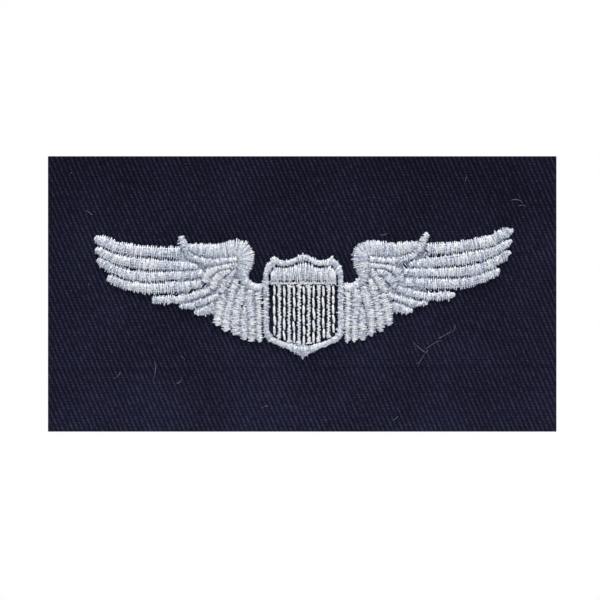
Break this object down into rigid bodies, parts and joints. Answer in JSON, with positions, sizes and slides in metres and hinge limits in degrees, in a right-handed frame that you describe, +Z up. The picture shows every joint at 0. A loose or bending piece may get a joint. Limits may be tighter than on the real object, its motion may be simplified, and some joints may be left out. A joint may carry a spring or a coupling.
{
  "type": "embroidered pilot wings badge",
  "caption": "Sew-on cloth badge: a striped shield between two spread wings, satin-stitched in silver thread on navy twill.",
  "frame": {"origin": "middle of the back, on the plane of the underside stitching that lies against the garment", "axes": "+X along the wings, to the right of someone looking at the face; +Y out of the back, so the face looks along -Y; +Z up, from the shield's tip to its peak"},
  "size_m": [0.0922, 0.0019, 0.05],
  "materials": {
    "twill": "matte navy cotton twill",
    "backing": "matte white non-woven",
    "silver_thread": "silver-white rayon embroidery thread, soft sheen",
    "bobbin_thread": "white spun polyester, matte"
  },
  "bodies": {
    "root": {"twill_panel": "twill", "backing": "backing", "shield_border_top": "silver_thread", "shield_border_left": "silver_thread", "shield_border_right": "silver_thread", "shield_chief": "silver_thread", "shield_chief_edge": "silver_thread", "shield_chain_row_1": "silver_thread", "shield_satin_row_1": "silver_thread", "shield_chain_row_2": "silver_thread", "shield_satin_row_2": "silver_thread", "shield_chain_row_3": "silver_thread", "shield_satin_row_3": "silver_thread", "shield_chain_row_4": "silver_thread", "shield_satin_row_4": "silver_thread", "shield_chain_row_5": "silver_thread", "shield_satin_row_5": "silver_thread", "shield_chain_row_6": "silver_thread", "shield_satin_row_6": "silver_thread", "shield_chain_row_7": "silver_thread", "left_leading_edge": "silver_thread", "left_alula": "silver_thread", "left_primary_1": "silver_thread", "left_primary_2": "silver_thread", "left_primary_3": "silver_thread", "left_primary_4": "silver_thread", "left_secondary_1": "silver_thread", "left_secondary_2": "silver_thread", "left_secondary_3": "silver_thread", "left_covert_1": "silver_thread", "left_covert_2": "silver_thread", "left_covert_3": "silver_thread", "left_tertial_1": "silver_thread", "left_tertial_2": "silver_thread", "left_tertial_3": "silver_thread", "left_tertial_4": "silver_thread", "left_tertial_5": "silver_thread", "left_tertial_6": "silver_thread", "right_leading_edge": "silver_thread", "right_alula": "silver_thread", "right_primary_1": "silver_thread", "right_primary_2": "silver_thread", "right_primary_3": "silver_thread", "right_primary_4": "silver_thread", "right_secondary_1": "silver_thread", "right_secondary_2": "silver_thread", "right_secondary_3": "silver_thread", "right_covert_1": "silver_thread", "right_covert_2": "silver_thread", "right_covert_3": "silver_thread", "right_tertial_1": "silver_thread", "right_tertial_2": "silver_thread", "right_tertial_3": "silver_thread", "right_tertial_4": "silver_thread", "right_tertial_5": "silver_thread", "right_tertial_6": "silver_thread", "shield_bobbin": "bobbin_thread", "left_wing_bobbin": "bobbin_thread", "right_wing_bobbin": "bobbin_thread"}
  },
  "joints": []
}
